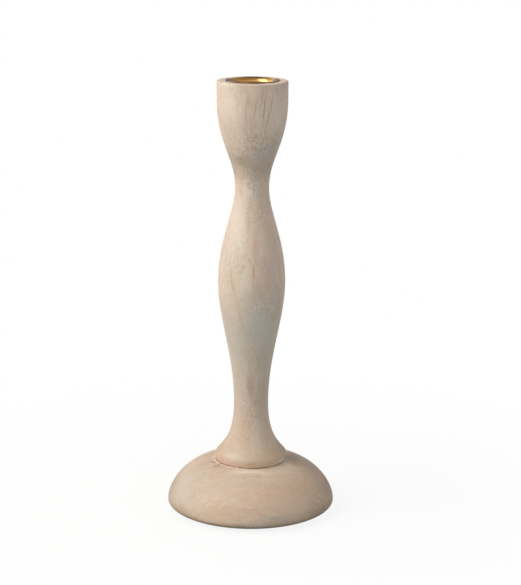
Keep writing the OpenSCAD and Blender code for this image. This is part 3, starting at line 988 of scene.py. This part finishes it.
# %% Seam curve
GLUE_DROPS = (
    # turn round the stem, length along the seam and thickness, both in mm
    (-95, 3.2, 1.6),
    (-70, 5.0, 0.9),
    (-28, 11.0, 0.85),
    (30, 13.0, 0.5),
    (68, 6.5, 0.7),
)
glue_line_t, glue_stands_off = 0.12, 0.9
seam_r = sole[0] + glue_stands_off
seam_steps = 480
seam = bpy.data.curves.new("glue", "CURVE")
seam.dimensions = "3D"
spline = seam.splines.new("POLY")
spline.points.add(seam_steps - 1)
spline.use_cyclic_u = True
for i, point in enumerate(spline.points):
    turn = 360 * i / seam_steps - 180
    thick = glue_line_t
    for at, length, drop_t in GLUE_DROPS:
        along = math.radians(turn - at) * seam_r
        thick = max(thick, drop_t * math.exp(-(along / length) ** 2))
    place = (math.sin(math.radians(turn)) * seam_r, -math.cos(math.radians(turn)) * seam_r, seat_z)
    point.co = (*(c * MM for c in place), 1)
    point.radius = thick * MM
print("seam of", round(math.tau * seam_r, 1), "mm with", len(GLUE_DROPS), "drops")

# %% Glue line
# Dried glue is cream, with a dull skin that holds brown dust
wood_glue, tree = blank_material("wood glue, dried")
dusty = blotches(tree, in_millimetres(tree), (1.5, 1.5, 1.5), 0.35, 0.6, seed=2)
tone = layered(tree, linear("#E9DFD0"), [("#D3BEA4", dusty)])
shader = add(tree, "ShaderNodeBsdfPrincipled", {"Base Color": tone, "Roughness": 0.6, "IOR": 1.47})
add(tree, "ShaderNodeOutputMaterial", {"Surface": shader[0]})
glue = run_tree(
    "glue_line",
    bpy.data.objects.new("glue", seam),
    glue_tree(),
    steps=seam_steps,
    blob_size=3.0 * MM,
    height=seat_z * MM,
    flatness=0.55,
    seed=5,
    finish=wood_glue,
)
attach(glue, "root")

# %% [markdown]
# ## Felt under the base
# A disc of pressed wool felt, cut a little smaller than the underside and glued on. The disc is
# turned like the rest. Felt has no weave: its fibres lie in every direction and a few stand off.
# That fuzz makes it look soft, so short fibres are scattered over the disc.

# %% Felt disc
felt, tree = blank_material("wool felt, pressed")
place = in_millimetres(tree)
# Wool fibres are far finer than a millimetre; their tangle is drawn at 0.5 mm so that it shows
tangle = blotches(tree, place, (0.5, 0.5, 0.5), 0.35, 0.65, seed=1, detail=4.0)
pressed = blotches(tree, place, (7, 7, 7), 0.4, 0.7, 0.6, seed=2)
tone = layered(tree, linear("#3E3A37"), [("#57524E", tangle), ("#4C4642", pressed)])
bump = add(tree, "ShaderNodeBump", {"Height": tangle, "Strength": 0.6, "Distance": 0.15 * MM})[0]
shader = add(
    tree,
    "ShaderNodeBsdfPrincipled",
    {"Base Color": tone, "Roughness": 0.95, "Sheen Weight": 0.3, "Sheen Roughness": 0.6, "Normal": bump},
)
add(tree, "ShaderNodeOutputMaterial", {"Surface": shader[0]})

felt_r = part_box("felt_pad")[1].x / MM
felt_top_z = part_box("felt_pad")[1].z / MM
# The disc leaves room in its box for the fuzz, and its edge is bevelled
room_below, room_beside, bevel = 0.25, 0.3, 0.4
felt_edge_r = felt_r - room_beside
felt_outline = [
    (0, room_below),
    (felt_edge_r - bevel, room_below),
    (felt_edge_r, room_below + bevel),
    (felt_edge_r, felt_top_z),
    (0, felt_top_z),
]
pad = turned("felt_disc", felt_outline, felt, 128, sanding_depth=0.3, sanding_width=5, seed=11)

# %% Fuzz tree
def fuzz_tree():
    inputs = {
        "Felt": "Geometry",
        "Fibres per area": "Float",
        "Fibre length": "Float",
        "Fibre thickness": "Float",
        "Lie": "Float",
        "Lowest": "Float",
        "Highest": "Float",
        "Seed": "Int",
        "Finish": "Material",
    }
    tree, given = blank_shape_tree("fuzz on felt", inputs, "Fuzz")

    # Points only where air meets the felt: the underside and the cut edge
    normal = add(tree, "GeometryNodeInputNormal")[0]
    up = add(tree, "ShaderNodeSeparateXYZ", {0: normal})["Z"]
    open_side = add(tree, "ShaderNodeMath", {0: up, 1: 0.5}, operation="LESS_THAN")[0]
    scattered = add(
        tree,
        "GeometryNodeDistributePointsOnFaces",
        {
            "Mesh": given["Felt"],
            "Selection": open_side,
            "Density": given["Fibres per area"],
            "Seed": given["Seed"],
        },
    )

    # A fibre is a thin cone that lies almost flat, turned at random
    fibre = add(
        tree,
        "GeometryNodeMeshCone",
        {
            "Vertices": 3,
            "Radius Top": 0.0,
            "Radius Bottom": given["Fibre thickness"],
            "Depth": given["Fibre length"],
        },
    )["Mesh"]
    about = add(
        tree, "FunctionNodeRandomValue", {2: 0.0, 3: math.tau, 8: given["Seed"]}, data_type="FLOAT"
    )[1]
    lie = add(tree, "ShaderNodeCombineXYZ", {"X": given["Lie"], "Z": about})[0]
    lie = add(tree, "FunctionNodeEulerToRotation", {0: lie})[0]
    lie = add(
        tree,
        "FunctionNodeRotateRotation",
        {"Rotation": scattered["Rotation"], "Rotate By": lie},
        rotation_space="LOCAL",
    )[0]
    fuzz = add(
        tree,
        "GeometryNodeInstanceOnPoints",
        {"Points": scattered["Points"], "Instance": fibre, "Rotation": lie},
    )[0]

    # Made real, so that each corner can be held between the table and the wood
    fuzz = add(tree, "GeometryNodeRealizeInstances", {"Geometry": fuzz})[0]
    position = add(tree, "GeometryNodeInputPosition")[0]
    parts = add(tree, "ShaderNodeSeparateXYZ", {0: position})
    held = add(tree, "ShaderNodeClamp", {0: parts["Z"], 1: given["Lowest"], 2: given["Highest"]})[0]
    held = add(tree, "ShaderNodeCombineXYZ", {"X": parts["X"], "Y": parts["Y"], "Z": held})[0]
    fuzz = add(tree, "GeometryNodeSetPosition", {"Geometry": fuzz, "Position": held})[0]
    finish_shape(tree, fuzz, given, "Fuzz")
    return tree


# %% Fuzz on the felt
fuzz_gap = 0.02
fuzz = run_tree(
    "felt_fuzz",
    bpy.data.objects.new("fuzz", pad.data.copy()),
    fuzz_tree(),
    fibres_per_area=0.3 / MM ** 2,
    fibre_length=1.4 * MM,
    fibre_thickness=0.05 * MM,
    lie=math.radians(82),
    lowest=fuzz_gap * MM,
    highest=(felt_top_z - fuzz_gap) * MM,
    seed=17,
    finish=felt,
)
for piece in (pad, fuzz):
    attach(piece, "root")
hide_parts("felt_pad")

# %% [markdown]
# ## Screws and washer
# The frame already holds the threads and the slotted heads in full. A copy of each mesh is welded,
# so that its faces share their corners, and smoothed up to a real edge. A bright zinc plate is a
# pale, slightly blue metal, and the small screw in the cup is brass.

# %% Hardware
screw_brass = metal("brass, turned for a wood screw", "#E0AE68", "#A9783F", 0.22)
screw_steel = metal("steel, bright zinc plate", "#C9CCD0", "#9A9DA2", 0.28)
HARDWARE = (
    # node, finish, slot
    ("cup_screw", screw_brass, "screw_brass"),
    ("stem_screw", screw_steel, "screw_steel"),
    ("stem_washer", screw_steel, "screw_steel"),
)
real_edge = math.radians(35)
for node, finish, slot in HARDWARE:
    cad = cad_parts[node]
    mesh = cad.data.copy()
    mesh.transform(cad.matrix_world)
    welded = bmesh.new()
    welded.from_mesh(mesh)
    bmesh.ops.remove_doubles(welded, verts=welded.verts, dist=SAME_POINT)
    welded.to_mesh(mesh)
    welded.free()
    mesh.shade_smooth()
    mesh.set_sharp_from_angle(angle=real_edge)
    mesh.materials.clear()
    mesh.materials.append(finish)
    piece = bpy.data.objects.new("finished_" + node, mesh)
    scene.collection.objects.link(piece)
    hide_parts(node)
    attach(piece, "root")
    print(piece.name, "has", len(mesh.polygons), "faces")
